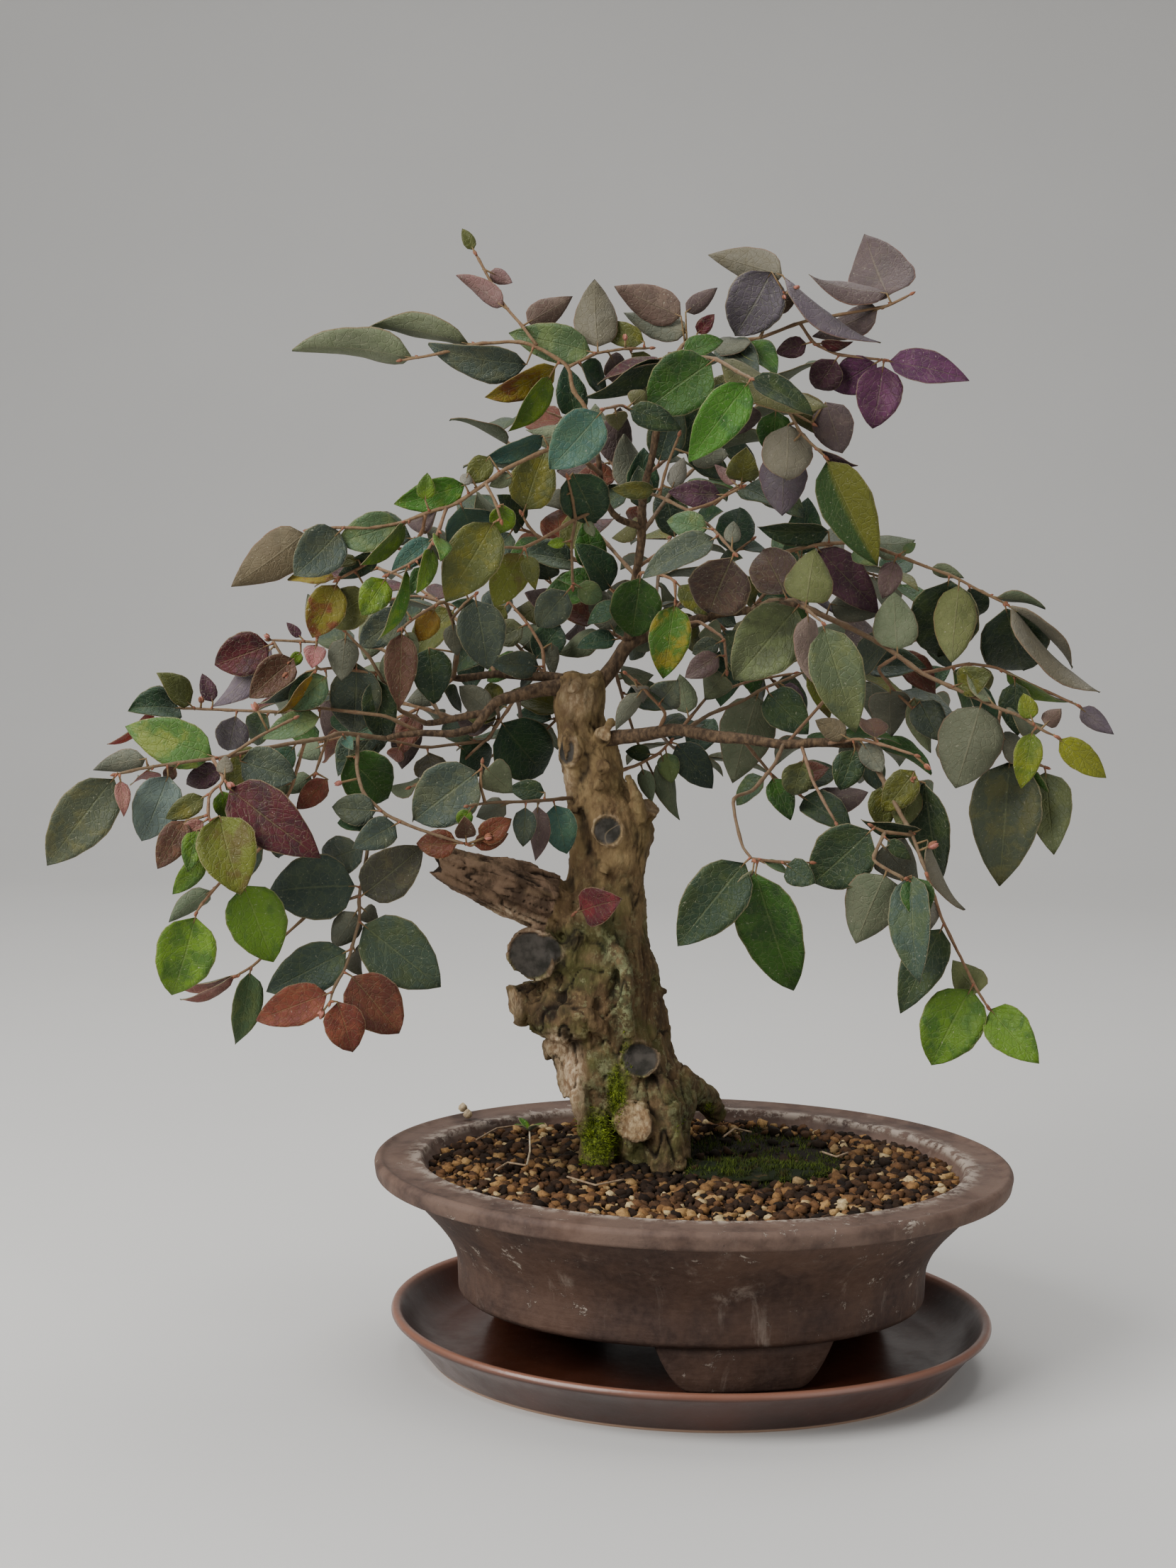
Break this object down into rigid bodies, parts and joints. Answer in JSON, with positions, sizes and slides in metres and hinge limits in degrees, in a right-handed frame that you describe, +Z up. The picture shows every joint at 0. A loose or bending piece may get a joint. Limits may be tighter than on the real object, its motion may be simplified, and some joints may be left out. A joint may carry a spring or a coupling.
{
  "type": "bonsai tree",
  "caption": "Fringe flower bonsai in training: an old trunk with sealed cuts, long leafy shoots, an oval clay pot on cloud feet and a glazed drip saucer.",
  "frame": {"origin": "the middle of the saucer's flat underside, where it stands on the table", "axes": "+Z up, along the tree; -Y towards the front of the tree; +X to the right as seen from the front"},
  "size_m": [0.5103, 0.3016, 0.5623],
  "materials": {
    "saucer_glaze": "thin glossy red-brown glaze, bare along the foot",
    "pot_clay": "matte fired clay with pale mineral deposits",
    "soil_granules": "fired clay and pumice granules, matte",
    "moss": "short dense moss",
    "bark": "rough bark, cuts sealed dark",
    "leaves": "leathery, finely hairy leaves on thin woody shoots"
  },
  "bodies": {
    "root": {"saucer": "saucer_glaze", "pot": "pot_clay", "soil": "soil_granules", "moss": "moss", "trunk": "bark", "shoot_crown_bright": "leaves", "shoot_crown_front": "leaves", "shoot_crown_left": "leaves", "shoot_top_right": "leaves", "shoot_purple_spray": "leaves", "shoot_crown_right": "leaves", "shoot_inner_fan": "leaves", "shoot_dark_heart": "leaves", "shoot_left_upper": "leaves", "shoot_left_yellow": "leaves", "shoot_left_lime": "leaves", "shoot_left_mid": "leaves", "shoot_left_slate": "leaves", "shoot_left_plum": "leaves", "shoot_left_long": "leaves", "shoot_far_left": "leaves", "shoot_left_burgundy": "leaves", "shoot_left_lime_low": "leaves", "shoot_left_down": "leaves", "shoot_left_copper": "leaves", "shoot_stub_left": "leaves", "shoot_inner_left": "leaves", "shoot_left_high_back": "leaves", "shoot_centre_front": "leaves", "shoot_centre_back": "leaves", "shoot_mid_right": "leaves", "shoot_upper_right": "leaves", "shoot_right_long": "leaves", "shoot_right_tip": "leaves", "shoot_right_twin": "leaves", "shoot_mid_back": "leaves", "shoot_right_low_a": "leaves", "shoot_right_low_b": "leaves", "shoot_right_low_c": "leaves", "shoot_right_green": "leaves", "shoot_hanging": "leaves", "shoot_hanging_bare": "leaves", "shoot_centre_small": "leaves", "shoot_centre_up": "leaves", "leaf_on_trunk": "leaves", "shoot_rear_left_low": "leaves", "shoot_rear_left_high": "leaves", "shoot_rear_crown_left": "leaves", "shoot_rear_crown_right": "leaves", "shoot_rear_right_high": "leaves", "shoot_rear_right_low": "leaves", "shoot_rear_mid_right": "leaves", "shoot_rear_centre": "leaves", "shoot_rear_mid_left": "leaves", "shoot_rear_centre_low": "leaves"}
  },
  "joints": []
}
